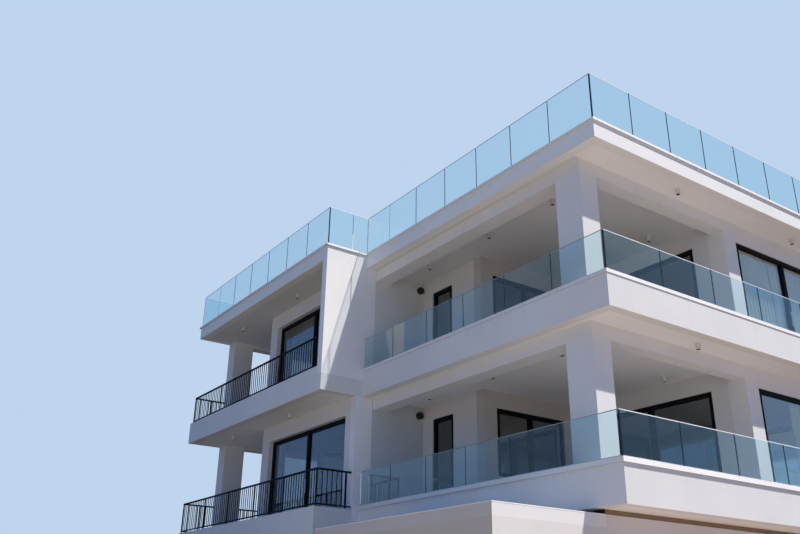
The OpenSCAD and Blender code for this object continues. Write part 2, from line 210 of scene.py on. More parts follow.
def makeRender(name, colour, stainTop=None, stainDeep=render["streakDeep"], baseDirt=False,
               shadeWithin=0, shadedFaceTint=None):
    # mineral render: fine grain, soft trowel marks, a little uneven tone and faint rain marks;
    # painted shade inside the loggias and on faces along one axis, where asked
    material, start, place = newFinish(name)
    height = start.axis(place, "Z")
    blotch = start.noise(place, scale=0.55, detail=4.0)
    trowel = start.noise(place, scale=7.0, detail=4.0, rough=0.6)
    grain = start.noise(place, scale=260.0, detail=2.0, rough=0.7)
    down = start.stretch(place, x=9.0, y=9.0, z=0.28)
    rain = start.noise(down, scale=1.0, detail=4.0, rough=0.62)
    worn = rain.rise(0.52, 0.78) * render["rainAmount"]
    if stainTop is not None:
        streaks = rain.rise(0.47, 0.72) * height.rise(stainTop - stainDeep, stainTop)
        worn = worn + streaks * render["streakAmount"]
    if baseDirt:
        splash = start.noise(place, scale=2.4, detail=5.0).rise(0.35, 0.75)
        low = 1 - height.rise(0.0, render["splashHigh"])
        worn = worn + low * splash * render["splashAmount"]
    dull, pale = shaded(colour, render["dull"]), shaded(colour, render["pale"])
    dirty = rgb(*[c * share for c, share in zip(colour, render["dirt"])])
    marks = trowel.rise(0.35, 0.75) * render["trowelAmount"]
    tone = start.blend(blotch.rise(0.30, 0.70), dull, pale)
    tone = start.blend(marks, tone, shaded(colour, render["trowelled"]))
    tone = start.blend(worn.maths("MINIMUM", 1.0) * render["dirtAmount"], tone, dirty)
    # painted shade: inside the loggias the walls are darker, and bluer below the second storey's
    # ceiling
    if shadeWithin:
        inside = abs(start.axis(place, "X")) < shadeWithin
        tone = start.tint(inside, tone, render["insideShadeTint"])
        lower = height < block["ceilings"][1]
        tone = start.tint(inside * lower, tone, render["lowInsideShadeTint"])
    if shadedFaceTint:
        # painted shade: faces that look along one axis are darker than the others
        along, tint = shadedFaceTint
        tone = start.tint(abs(start.axis(start.facing(), along)) > flat, tone, tint)
    wavy = bumpFrom(start, trowel, distance=0.0035, strength=0.55)
    normal = bumpFrom(start, grain, distance=0.0012, strength=0.7, under=wavy)
    return dressed(material, start, tone, blotch.vary(base=0.82, by=0.08), normal)


slabTop = {
    "tileSize": 0.60,
    "secondTile": 0.93,
    "jointWide": 0.004,
    "jointSoft": 0.2,
    "joint": (0.30, 0.29, 0.27),
    "stone": 0.86,
    "stoneAmount": 0.35,
    "dull": 0.965,
    "trowelled": 0.9,
    "trowelAmount": 0.12,
    "trowelRelief": 0.4,
    "paintRough": 0.86,
    "tileSmoother": 0.42,
    "jointRougher": 0.3,
}


def makeSlab(name, wall, tile, insideShadeShare=1.0):
    # underside painted like a ceiling, with painted shade inside the front beams, top laid with
    # large tiles
    material, start, place = newFinish(name)
    top = start.axis(start.facing(), "Z") > flat
    sockets = {"Vector": place, "Color1": rgb(*tile), "Color2": shaded(tile, slabTop["secondTile"]),
               "Mortar": rgb(*slabTop["joint"]), "Mortar Size": slabTop["jointWide"],
               "Mortar Smooth": slabTop["jointSoft"], "Bias": 0.0, "Scale": 1.0,
               "Brick Width": slabTop["tileSize"], "Row Height": slabTop["tileSize"]}
    slabs = start.node("ShaderNodeTexBrick", sockets, offset=0.0, squash=1.0)
    joints = start.node("ShaderNodeTexBrick", sockets, output="Fac", offset=0.0, squash=1.0)
    stone = start.noise(place, scale=9.0, detail=5.0)
    trowel = start.noise(place, scale=5.0, detail=4.0)
    blotch = start.noise(place, scale=0.5, detail=4.0)
    grain = start.noise(place, scale=240.0, detail=2.0)
    clouds = stone.rise(0.35, 0.75) * slabTop["stoneAmount"]
    tiles = start.blend(clouds, slabs, shaded(tile, slabTop["stone"]))
    marks = trowel.rise(0.4, 0.75) * slabTop["trowelAmount"]
    paint = start.blend(blotch.rise(0.3, 0.7), shaded(wall, slabTop["dull"]), rgb(*wall))
    paint = start.blend(marks, paint, shaded(wall, slabTop["trowelled"]))
    # painted shade on the ceilings behind the front beams
    inside = start.axis(place, "Y") > block["frontSet"] - centre.y
    paint = start.tint(inside, paint, (insideShadeShare,) * 3)
    tone = start.blend(top, paint, tiles)
    rough = (slabTop["paintRough"] - top * slabTop["tileSmoother"]
             + joints * top * slabTop["jointRougher"])
    relief = trowel * (1 - top) * slabTop["trowelRelief"] - joints * top
    wavy = bumpFrom(start, relief, distance=0.003, strength=0.8)
    normal = bumpFrom(start, grain, distance=0.0008, strength=0.5, under=wavy)
    return dressed(material, start, tone, rough, normal)


coping = {
    "colour": (0.95, 0.95, 0.95),
    "pieceLength": 1.30,
    "jointShare": 0.004,
    "jointColour": (0.22, 0.21, 0.20),
    "jointAmount": 0.35,
    "jointRelief": 4.0,
    "cloudy": 0.95,
    "rained": 0.78,
    "rainAmount": 0.3,
    "topColour": (0.58, 0.57, 0.55),
    "topAmount": 0.8,
}


def makeCoping(name, shadedSideShare, under):
    # smooth cast coping, laid in lengths with thin joints; its sides and undersides carry painted
    # shade
    colour = coping["colour"]
    material, start, place = newFinish(name)
    facing = start.facing()
    alongX = abs(start.axis(facing, "Y")) > flat
    alongY = abs(start.axis(facing, "X")) > flat
    gapX, gapY = [(start.axis(place, along) / coping["pieceLength"]).maths("FRACT")
                  < coping["jointShare"] for along in ("X", "Y")]
    joint = (gapX * alongX).maths("MAXIMUM", gapY * alongY)
    cloud = start.noise(place, scale=1.6, detail=4.0)
    pits = start.noise(place, scale=120.0, detail=3.0)
    rain = start.noise(start.stretch(place, x=14.0, y=14.0, z=1.5), scale=1.0, detail=3.0)
    streaks = rain.rise(0.55, 0.8) * coping["rainAmount"]
    top = (start.axis(facing, "Z") > flat) * coping["topAmount"]
    tone = start.blend(cloud.rise(0.3, 0.7), shaded(colour, coping["cloudy"]), rgb(*colour))
    tone = start.blend(streaks, tone, shaded(colour, coping["rained"]))
    # painted shade on the faces that look along x
    tone = start.blend(alongY, tone, shaded(colour, shadedSideShare))
    tone = start.blend(top, tone, rgb(*coping["topColour"]))
    # painted shade: the undersides are a bluish grey
    tone = start.blend(start.axis(facing, "Z") < -flat, tone, rgb(*under))
    tone = start.blend(joint * coping["jointAmount"], tone, rgb(*coping["jointColour"]))
    relief = pits - joint * coping["jointRelief"]
    normal = bumpFrom(start, relief, distance=0.0008, strength=0.6)
    return dressed(material, start, tone, cloud.vary(base=0.48, by=0.15), normal)


concrete = {"cloudy": 0.84, "splashed": 0.6, "splashAmount": 0.5}


def makeConcrete(name, colour):
    # porous concrete or stone, clouded, with splashes
    material, start, place = newFinish(name)
    cloud = start.noise(place, scale=1.2, detail=5.0)
    pores = start.noise(place, scale=60.0, detail=4.0, rough=0.7)
    splash = start.noise(start.stretch(place, x=3.0, y=3.0, z=9.0), scale=1.0, detail=4.0)
    spots = splash.rise(0.5, 0.8) * concrete["splashAmount"]
    tone = start.blend(cloud.rise(0.3, 0.75), shaded(colour, concrete["cloudy"]), rgb(*colour))
    tone = start.blend(spots, tone, shaded(colour, concrete["splashed"]))
    normal = bumpFrom(start, pores, distance=0.0015, strength=0.8)
    return dressed(material, start, tone, pores.vary(base=0.82, by=0.1), normal)


fibre = {"strand": 0.75, "knot": 0.5, "knotAmount": 0.4}


def makeBoard(name, colour):
    # brown fibre board: long strands, a few darker knots; in the groove under the first slab its
    # dark brown is partly painted shade
    material, start, place = newFinish(name)
    along = start.stretch(place, x=3.0, y=40.0, z=60.0)
    strands = start.noise(along, scale=1.0, detail=4.0, rough=0.6)
    knots = start.noise(place, scale=6.0, detail=3.0).rise(0.6, 0.8) * fibre["knotAmount"]
    tone = start.blend(strands.rise(0.3, 0.7), shaded(colour, fibre["strand"]), rgb(*colour))
    tone = start.blend(knots, tone, shaded(colour, fibre["knot"]))
    normal = bumpFrom(start, strands, distance=0.001, strength=0.7)
    return dressed(material, start, tone, strands.vary(base=0.78, by=0.1), normal)


membrane = {
    "stripWide": 1.0,
    "lapShare": 0.02,
    "lapColour": (0.30, 0.295, 0.285),
    "lapAmount": 0.5,
    "lapRelief": 2.0,
    "dark": (0.52, 0.51, 0.49),
    "pale": (0.60, 0.58, 0.55),
    "dull": 0.965,
    "shadedSideTint": (0.74, 0.71, 0.66),
}


def makeBlockRoof(name, wall):
    # render on the edges and below, with painted shade on the faces along x, a grey mineral
    # membrane in strips on top
    material, start, place = newFinish(name)
    facing = start.facing()
    top = start.axis(facing, "Z") > flat
    strip = start.axis(place, "Y") / membrane["stripWide"]
    lap = strip.maths("FRACT") < membrane["lapShare"]
    grit = start.noise(place, scale=180.0, detail=3.0, rough=0.7)
    cloud = start.noise(place, scale=0.9, detail=5.0)
    felt = start.blend(cloud.rise(0.3, 0.75), rgb(*membrane["dark"]), rgb(*membrane["pale"]))
    felt = start.blend(lap * membrane["lapAmount"], felt, rgb(*membrane["lapColour"]))
    paint = start.blend(cloud.rise(0.3, 0.7), shaded(wall, membrane["dull"]), rgb(*wall))
    # painted shade on the faces that look along x
    paint = start.tint(abs(start.axis(facing, "X")) > flat, paint, membrane["shadedSideTint"])
    tone = start.blend(top, paint, felt)
    relief = grit + lap * top * membrane["lapRelief"]
    normal = bumpFrom(start, relief, distance=0.0012, strength=0.7)
    return dressed(material, start, tone, grit.vary(base=0.82, by=0.1), normal)


dustOnMetal = {"amount": 0.35, "share": 1.6, "veil": 0.012, "roughens": 0.16}


def makeCoatedMetal(name, colour, rough, coat=0.0, gloss=0.5):
    # powder coated metal: fine orange peel, dust that dulls it in patches
    material, start, place = newFinish(name)
    peel = start.noise(place, scale=900.0, detail=2.0)
    dust = start.noise(place, scale=3.5, detail=5.0, rough=0.65)
    dusty = rgb(*[c * dustOnMetal["share"] + dustOnMetal["veil"] for c in colour])
    tone = start.blend(dust.rise(0.45, 0.8) * dustOnMetal["amount"], rgb(*colour), dusty)
    normal = bumpFrom(start, peel, distance=0.0002, strength=0.35)
    steady = {"Coat Weight": coat, "Specular IOR Level": gloss}
    patchy = dust.vary(base=rough, by=dustOnMetal["roughens"])
    return dressed(material, start, tone, patchy, normal, steady)


pane = {
    "frontEnds": -6.75,      # panes ahead of this line belong to the front bay, with clearer glass
    "dustAmount": 0.12,
    "smooth": 0.01,
    "dustRough": 0.04,
    "ripple": 0.002,
    "rippleStrength": 0.12,
}


def makeGlass(name, colour, shade, bend, dustColour, frontColour=None, frontShade=None):
    # a clear pane: lamps reach what is behind it, and a film of dust shows in patches
    material, start, place = newFinish(name)
    onFront = start.axis(place, "Y") < pane["frontEnds"]
    film = start.noise(place, scale=2.2, detail=5.0, rough=0.6)
    ripple = start.noise(place, scale=1.1, detail=2.0)
    tint = start.blend(onFront, rgb(*colour), rgb(*(frontColour or colour)))
    tone = start.blend(film.rise(0.45, 0.85) * pane["dustAmount"], tint, rgb(*dustColour))
    rough = film.rise(0.5, 0.9).vary(base=pane["smooth"], by=pane["dustRough"])
    normal = bumpFrom(start, ripple, pane["ripple"], pane["rippleStrength"])
    sockets = {"Base Color": tone, "Roughness": rough, "Normal": normal, "IOR": bend,
               "Transmission Weight": 1.0}
    solid = start.node("ShaderNodeBsdfPrincipled", sockets)
    clear = start.node("ShaderNodeBsdfTransparent", {"Color": rgb(*shade)})
    if frontShade:
        paler = start.node("ShaderNodeBsdfTransparent", {"Color": rgb(*frontShade)})
        clear = start.node("ShaderNodeMixShader", {0: onFront, 1: clear, 2: paler})
    lampRay = start.ray("Shadow").maths("MAXIMUM", start.ray("Diffuse"))
    showSurface(start, start.node("ShaderNodeMixShader", {0: lampRay, 1: solid, 2: clear}))
    return material


sheer = {"colour": (0.72, 0.68, 0.50), "fold": 0.92, "rough": 0.9, "sheen": 0.2}


def makeFabric(name):
    # fine plain weave
    colour = sheer["colour"]
    material, start, place = newFinish(name)
    warp = start.noise(start.stretch(place, x=600.0, y=600.0, z=18.0), scale=1.0, detail=2.0)
    weft = start.noise(start.stretch(place, x=18.0, y=18.0, z=600.0), scale=1.0, detail=2.0)
    cloud = start.noise(place, scale=2.0, detail=3.0)
    tone = start.blend(cloud.rise(0.3, 0.7), shaded(colour, sheer["fold"]), rgb(*colour))
    normal = bumpFrom(start, warp + weft, distance=0.0006, strength=0.6)
    return dressed(material, start, tone, sheer["rough"], normal, {"Sheen Weight": sheer["sheen"]})


paints = {
    "white": (0.745, 0.745, 0.745),
    # painted shade: the recess and loggia paints are darker copies of the white render
    "recess": (0.68, 0.68, 0.68),
    "loggia": (0.51, 0.495, 0.475),
    # painted light: the cross walls' paint is a paler copy of the white render
    "cross": (0.84, 0.845, 0.85),
    "ground": (0.68, 0.665, 0.65),
    # painted light: the roof band's paint is a paler copy of the white render
    "roofBand": (0.82, 0.825, 0.825),
    "ceiling": (0.87, 0.865, 0.865),
    "balconyTile": (0.66, 0.63, 0.58),
    "terraceTile": (0.58, 0.56, 0.52),
}
firstTop, secondTop, roofTop = block["bandTops"]
finishes = {
    "wall": makeRender("whiteRender", paints["white"]),
    # painted shade darkens the ground walls' side faces and the bands' front faces
    "groundWall": makeRender("groundRender", paints["ground"], baseDirt=True,
                             shadedFaceTint=("X", (0.78, 0.72, 0.66))),
    "recessShadedWall": makeRender("recessShadedRender", paints["recess"]),
    "loggiaShadedWall": makeRender("loggiaShadedRender", paints["loggia"]),
    # painted light outside the loggias, painted shade inside them
    "crossWall": makeRender("crossWallRender", paints["cross"], shadeWithin=6.42),
    "firstBand": makeRender("firstBandRender", paints["white"], stainTop=firstTop,
                            shadedFaceTint=("Y", (0.93, 0.95, 0.955))),
    "secondBand": makeRender("secondBandRender", paints["white"], stainTop=secondTop,
                             shadedFaceTint=("Y", (0.955, 0.97, 0.965))),
    "roofBand": makeRender("roofBandRender", paints["roofBand"], stainTop=roofTop, stainDeep=0.2),
    "balconyFloor": makeSlab("ceilingAndFloor", paints["ceiling"], paints["balconyTile"]),
    "terraceFloor": makeSlab("ceilingAndTerrace", paints["ceiling"], paints["terraceTile"],
                             insideShadeShare=0.84),
    # the copings' darker sides and bluish undersides are painted shade
    "coping": makeCoping("castCoping", shadedSideShare=0.78, under=(0.44, 0.50, 0.58)),
    "roofCoping": makeCoping("castRoofCoping", shadedSideShare=0.86, under=(0.60, 0.66, 0.74)),
    "plinth": makeConcrete("plinthConcrete", (0.42, 0.41, 0.39)),
    "frame": makeCoatedMetal("anthraciteFrame", (0.007, 0.008, 0.010), 0.50, gloss=0.08),
    "rail": makeCoatedMetal("blackRailing", (0.005, 0.006, 0.008), 0.55, gloss=0.2),
    "lamp": makeCoatedMetal("darkLamp", (0.015, 0.015, 0.016), 0.45, gloss=0.3),
    "board": makeBoard("grooveShadeBoard", (0.27, 0.19, 0.125)),
    "blockRoof": makeBlockRoof("blockRoofMembrane", paints["white"]),
    "seal": makeCoatedMetal("jointSeal", (0.010, 0.022, 0.045), 0.6, gloss=0.2),
    "channel": makeCoatedMetal("guardChannel", (0.55, 0.56, 0.57), 0.36),
    "steel": makeCoatedMetal("brushedSteel", (0.42, 0.43, 0.44), 0.34),
    "spot": makeCoatedMetal("spotCan", (0.62, 0.61, 0.59), 0.45),
    # painted highlight on the guards' edges along x, painted shade on their edges along y
    "edge": makeCoatedMetal("litGuardEdge", (0.92, 0.96, 0.97), 0.22, coat=0.4),
    "shadedEdge": makeCoatedMetal("shadedGuardEdge", (0.30, 0.34, 0.37), 0.30),
    "sillStone": makeConcrete("sillStone", (0.66, 0.65, 0.62)),
    "windowGlass": makeGlass("windowPane", colour=(0.42, 0.47, 0.50), shade=(0.33, 0.34, 0.35),
                             bend=2.1, dustColour=(0.5, 0.5, 0.5),
                             frontColour=(0.80, 0.84, 0.84), frontShade=(0.78, 0.79, 0.79)),
    "guardGlass": makeGlass("guardPane", colour=(0.73, 0.89, 0.93), shade=(0.83, 0.86, 0.87),
                            bend=1.45, dustColour=(0.72, 0.86, 0.90)),
    "lens": makeGlass("lampLens", colour=(0.80, 0.80, 0.76), shade=(0.7, 0.7, 0.66),
                      bend=1.45, dustColour=(0.7, 0.7, 0.68)),
    "curtain": makeFabric("sheerCurtain"),
}
print("finishes made:", len(finishes))

guardNames = ["first", "second", "roof"]
nodeFinishes = {
    "wall": ["front_corner_columns", "back_corner_columns", "front_beams", "side_beams",
             "back_beams", "front_walls", "wing_walls", "terrace_walls", "back_walls"],
    "crossWall": ["wing_cross_walls"],
    "recessShadedWall": ["loggia_side_walls", "balcony_walls"],
    "loggiaShadedWall": ["loggia_back_walls"],
    "blockRoof": ["side_block_roofs"],
    "groundWall": ["ground_front_wall", "ground_side_walls", "ground_back_walls"],
    "firstBand": ["first_edge_band"],
    "secondBand": ["second_edge_band"],
    "roofBand": ["roof_edge_band"],
    "balconyFloor": ["first_slab", "second_slab"],
    "terraceFloor": ["roof_slab"],
    "coping": ["first_coping", "second_coping"],
    "roofCoping": ["roof_coping"],
    "plinth": ["ground_slab"],
    "frame": [name + "_window_frames" for name in storeyNames],
    "windowGlass": [name + "_window_glass" for name in storeyNames],
    "guardGlass": [name + "_glass_guards" for name in guardNames],
    "rail": ["first_wing_railings", "second_wing_railings"],
    "lamp": ["wall_lamps"],
    "spot": ["ceiling_spots"],
}
for finishName, nodes in nodeFinishes.items():
    for nodeName in nodes:
        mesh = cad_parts[nodeName].data
        mesh.materials.clear()
        mesh.materials.append(finishes[finishName])

sharp = 0.5    # radians between the faces of an edge that is softened
upright = Matrix(((1, 0, 0, 0), (0, 0, 1, 0), (0, 1, 0, 0), (0, 0, 0, 1)))    # swaps y and z
outwards = Matrix.Rotation(math.radians(90), 4, "X")


def soften(bm, made, edges, size, segments=1):
    # bevels the edges of a body, and gives back all its vertices
    result = bmesh.ops.bevel(bm, geom=edges, offset=size, segments=segments, profile=0.5,
                             affect="EDGES", material=-1)
    return list({v for f in result["faces"] for v in f.verts} | {v for v in made if v.is_valid})


def addBar(bm, low, high, place=None, softness=0.0):
    # a bar between two corners
    low, high = Vector(low), Vector(high)
    made = bmesh.ops.create_cube(bm, size=1.0)["verts"]
    bmesh.ops.scale(bm, vec=high - low, verts=made)
    bmesh.ops.translate(bm, vec=(low + high) / 2, verts=made)
    if softness:
        made = soften(bm, made, list({e for v in made for e in v.link_edges}), softness)
    if place is not None:
        bmesh.ops.transform(bm, matrix=place, verts=made)
    return made


def addRing(bm, low, high, width, near, far, place, softness=0.0):
    # rectangular ring in a window's own plane: x along, z up, y into the wall
    made = bmesh.ops.create_grid(bm, x_segments=1, y_segments=1, size=0.5)["verts"]
    face = made[0].link_faces[0]
    bmesh.ops.scale(bm, vec=(high[0] - low[0], high[1] - low[1], 1), verts=made)
    bmesh.ops.translate(bm, vec=((low[0] + high[0]) / 2, (low[1] + high[1]) / 2, 0), verts=made)
    rim = bmesh.ops.inset_region(bm, faces=[face], thickness=width, use_boundary=True,
                                 use_even_offset=True)["faces"]
    bmesh.ops.delete(bm, geom=[face], context="FACES")
    pulled = bmesh.ops.extrude_face_region(bm, geom=rim, use_keep_orig=True)["geom"]
    back = [v for v in pulled if isinstance(v, bmesh.types.BMVert)]
    front = list({v for f in rim for v in f.verts})
    bmesh.ops.translate(bm, vec=(0, 0, near), verts=front)
    bmesh.ops.translate(bm, vec=(0, 0, far), verts=back)
    every = front + back
    if softness:
        edges = {e for v in front for e in v.link_edges if all(w in front for w in e.verts)}
        edges = [e for e in edges if len(e.link_faces) == 2 and e.calc_face_angle(0) > sharp]
        every = soften(bm, every, edges, softness)
    bmesh.ops.transform(bm, matrix=place @ upright, verts=every)


def addRound(bm, radiusLow, radiusHigh, depth, place, segments, softness=0.0):
    # a short round body standing on the zero of its own z, narrower or wider at the top
    made = bmesh.ops.create_cone(bm, cap_ends=True, segments=segments, radius1=radiusLow,
                                 radius2=radiusHigh, depth=depth)["verts"]
    bmesh.ops.translate(bm, vec=(0, 0, depth / 2), verts=made)
    if softness:
        edges = {e for v in made for e in v.link_edges}
        rims = [e for e in edges if e.calc_face_angle(0) > sharp]
        made = soften(bm, made, rims, softness, segments=2)
    bmesh.ops.transform(bm, matrix=place, verts=made)


def finishPiece(bm, name, finish, smooth=False):
    bmesh.ops.recalc_face_normals(bm, faces=bm.faces)
    mesh = bpy.data.meshes.new(name)
    bm.to_mesh(mesh)
    bm.free()
    if smooth:
        mesh.polygons.foreach_set("use_smooth", [True] * len(mesh.polygons))
    mesh.materials.append(finishes[finish])
    piece = bpy.data.objects.new(name, mesh)
    bpy.context.scene.collection.objects.link(piece)
    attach(piece, "root")
    return piece


def opening(runs, face, start, end, setBack, into=1, sill=0, leaves=2, lift=0):
    # runs along x or y in the wall at face, from start to end, its frame set back from the face
    # into: which way the wall lies, lift: how much its head stands above the storey's others
    return {"runs": runs, "face": face, "start": start, "end": end, "setBack": setBack,
            "into": into, "sill": sill, "leaves": leaves, "lift": lift}


flushSet, deepSet = 0.03, 0.12
frontLift, wingLift, doorLift = -0.03, -0.015, 0.025
bayStart, bayEnd = block["pierX"], block["length"] - block["pierX"]
frontBay = opening("x", block["frontSet"], bayStart, bayEnd, flushSet, lift=frontLift)
groundBay = opening("x", block["groundSet"], bayStart, bayEnd, flushSet, lift=frontLift)
loggiaSlider = opening("y", block["loggiaX"], 1.50, 4.70, flushSet)
loggiaWindow = opening("x", block["loggiaY"], 2.12, 4.20, flushSet, sill=block["sill"])
balconyDoor = opening("y", block["balconyX"], 6.34, 7.12, flushSet, leaves=1, lift=doorLift)
wingSlider = opening("y", block["wingX"], 7.92, 11.80, deepSet, lift=wingLift)
terraceSlider = opening("x", block["terraceY"], 0.35, 2.75, deepSet, into=-1, lift=wingLift)
backWindow = opening("x", block["backY"], 3.885, 5.965, deepSet, into=-1, sill=block["sill"],
                     lift=wingLift)
sideWindow = opening("y", block["sideSet"], 6.00, 7.20, deepSet, sill=block["sill"], leaves=1)
storeyWindows = [loggiaSlider, loggiaWindow, balconyDoor, wingSlider, terraceSlider, backWindow]
groundWindows = [wingSlider, terraceSlider, backWindow, sideWindow]


def runPlace(runs, corner, low, side, into=1):
    # x along the run, y across it, z up from low
    x, y = corner
    if runs == "x":
        local = Matrix(((1, 0, 0, x), (0, into, 0, y), (0, 0, 1, low), (0, 0, 0, 1)))
    else:
        local = Matrix(((0, into, 0, x), (1, 0, 0, y), (0, 0, 1, low), (0, 0, 0, 1)))
    return side @ local


def windowPlace(window, storey, side):
    # the window's own frame: x along the opening, y into the wall, z up from the floor
    corner = (window["start"], window["face"])
    if window["runs"] == "y":
        corner = corner[::-1]
    return runPlace(window["runs"], corner, block["floors"][storey], side, window["into"])


def frontOf(storey):
    return groundBay if storey == 0 else frontBay


def windowsOf(storey):
    others = groundWindows if storey == 0 else storeyWindows
    paired = [(window, side) for window in others for side in bothSides]
    return [(frontOf(storey), leftSide), *paired]


joinery = {
    "frameWidth": 0.09,
    "frameDepth": 0.08,
    "meeting": 0.12,
    "sash": 0.046,
    "sashLip": 0.002,
    "sashProud": 0.016,
    "sashStep": 0.004,
    "sashSoft": 0.003,
    "bead": 0.008,
    "beadLap": 0.001,
    "outerBead": (0.003, 0.030),      # from the frame's outer face
    "innerBead": (-0.022, 0.006),     # from its inner face
}


def leavesOf(window, storey):
    # start, end, low and high of each leaf's clear opening
    border, meeting, leaves = joinery["frameWidth"], joinery["meeting"], window["leaves"]
    low = window["sill"] + border
    high = block["heads"][storey] + window["lift"] - border
    clear = (window["end"] - window["start"] - 2 * border - (leaves - 1) * meeting) / leaves
    starts = [border + i * (clear + meeting) for i in range(leaves)]
    return [(start, start + clear, low, high) for start in starts]


def makeSashes(storey):
    # a rim round each leaf and glazing beads on both its sides
    bm = bmesh.new()
    sash, lap = joinery["sash"], joinery["beadLap"]
    for window, side in windowsOf(storey):
        place = windowPlace(window, storey, side)
        outer = window["setBack"]
        inner = outer + joinery["frameDepth"]
        beads = [[outer + y for y in joinery["outerBead"]],
                 [inner + y for y in joinery["innerBead"]]]
        for i, (start, end, low, high) in enumerate(leavesOf(window, storey)):
            face = outer - joinery["sashProud" if i == 0 else "sashStep"]
            addRing(bm, (start - sash, low - sash), (end + sash, high + sash),
                    sash + joinery["sashLip"], face, outer + joinery["sashStep"], place,
                    joinery["sashSoft"])
            for near, far in beads:
                addRing(bm, (start - lap, low - lap), (end + lap, high + lap), joinery["bead"],
                        near, far, place)
    finishPiece(bm, storeyNames[storey] + "_window_sashes", "frame")


pull = {
    "wide": 0.022,
    "proud": 0.030,
    "tall": 0.34,
    "thick": 0.012,
    "middle": 1.02,
    "soft": 0.004,
    "footIn": 0.03,
    "footHalf": (0.009, 0.012),
    "footSoft": 0.002,
    "footLap": 0.010,
}
lever = {
    "rose": (0.026, 0.024, 0.010),      # two radii and a depth
    "neck": (0.010, 0.010, 0.045),
    "low": (-0.125, -0.052, -0.010),
    "high": (0.012, -0.036, 0.010),
    "soft": 0.005,
}


def makeHandles(storey):
    # bar pulls on the sliders, a lever on the single doors
    bm = bmesh.new()
    half, reach, up = pull["wide"] / 2, pull["proud"], pull["tall"] / 2
    across, high = pull["footHalf"]
    base = pull["middle"]
    for window, side in windowsOf(storey):
        if window["sill"] > 0:
            continue
        place = windowPlace(window, storey, side)
        outer = window["setBack"] - joinery["sashProud"]
        leaves = leavesOf(window, storey)
        middle = leaves[0][1] + joinery["sash"] / 2
        if len(leaves) == 2:
            addBar(bm, (middle - half, outer - reach, base - up),
                   (middle + half, outer - reach + pull["thick"], base + up), place, pull["soft"])
            for foot in (base - up + pull["footIn"], base + up - pull["footIn"]):
                addBar(bm, (middle - across, outer - reach + pull["footLap"], foot - high),
                       (middle + across, outer, foot + high), place, pull["footSoft"])
        else:
            spot = (middle, outer, base)
            rose = place @ Matrix.Translation(spot) @ outwards
            addRound(bm, *lever["rose"], rose, segments=20, softness=0.002)
            addRound(bm, *lever["neck"], rose, segments=16)
            addBar(bm, [c + d for c, d in zip(spot, lever["low"])],
                   [c + d for c, d in zip(spot, lever["high"])], place, lever["soft"])
    finishPiece(bm, storeyNames[storey] + "_window_pulls", "steel")


stoneSill = {
    "ear": 0.03,
    "out": 0.045,
    "thick": 0.030,
    "lap": 0.004,
    "slope": 0.12,
    "soft": 0.004,
    "bedHigh": 0.008,
    "bedFront": 0.0004,
    "bedSoft": 0.002,
}
threshold = {"in": 0.001, "front": 0.002, "high": 0.018, "soft": 0.003}


def makeSills(storey):
    # stone sills under the windows, thresholds under the doors
    bm = bmesh.new()
    ear, lap, inset = stoneSill["ear"], stoneSill["lap"], threshold["in"]
    for window, side in windowsOf(storey):
        place = windowPlace(window, storey, side)
        outer, sill = window["setBack"], window["sill"]
        width = window["end"] - window["start"]
        if sill > 0:
            made = addBar(bm, (-ear, -stoneSill["out"], sill - stoneSill["thick"] - lap),
                          (width + ear, -hair, sill + lap), softness=stoneSill["soft"])
            for v in made:
                if v.co.z > sill - 2 * lap:    # only the top falls outwards
                    v.co.z += v.co.y * stoneSill["slope"]
            bmesh.ops.transform(bm, matrix=place, verts=made)
            addBar(bm, (hair, -stoneSill["bedFront"], sill),
                   (width - hair, outer - hair, sill + stoneSill["bedHigh"]), place,
                   stoneSill["bedSoft"])
        else:
            addBar(bm, (inset, threshold["front"], 0.0),
                   (width - inset, outer - inset, threshold["high"]), place, threshold["soft"])
    finishPiece(bm, storeyNames[storey] + "_window_sills", "sillStone")


for storey in range(len(storeyNames)):
    makeSashes(storey)
    makeHandles(storey)
    makeSills(storey)
print("window leaves, pulls and sills made")

curtain = {
    "spans": [[(0.86, 1.58), (1.66, 2.42)], [(1.30, 2.45)], [(0.12, 1.30), (1.38, 2.60)]],
    "rise": 0.03,              # foot above the floor
    "drop": 0.05,              # rail below the ceiling
    "behind": 0.20,
    "foldLength": 0.135,
    "foldDepth": 0.042,
    "easeShare": 0.20,         # how much shallower the folds are at the rail
    "columnsInFold": 10,
    "rows": 14,
    "drift": 0.010,
    "driftTurns": 9.0,
}
curtainRail = {
    "ends": (0.10, 3.15),
    "half": 0.016,
    "thick": 0.022,
    "soft": 0.004,
    "hooks": (0.3, 1.1, 1.9, 2.7),
    "hookLong": 0.03,
    "hookHalf": 0.012,
    "hookLow": 0.02,
    "hookHigh": 0.0505,
}


def makeCurtainRail(storey, top, place):
    bm = bmesh.new()
    start, end = curtainRail["ends"]
    behind, half, across = curtain["behind"], curtainRail["half"], curtainRail["hookHalf"]
    hookLow, hookHigh = top + curtainRail["hookLow"], top + curtainRail["hookHigh"]
    addBar(bm, (start, behind - half, top), (end, behind + half, top + curtainRail["thick"]),
           place, curtainRail["soft"])
    for hook in curtainRail["hooks"]:
        addBar(bm, (hook, behind - across, hookLow),
               (hook + curtainRail["hookLong"], behind + across, hookHigh), place)
    return finishPiece(bm, storeyNames[storey] + "_curtain_rail", "steel")


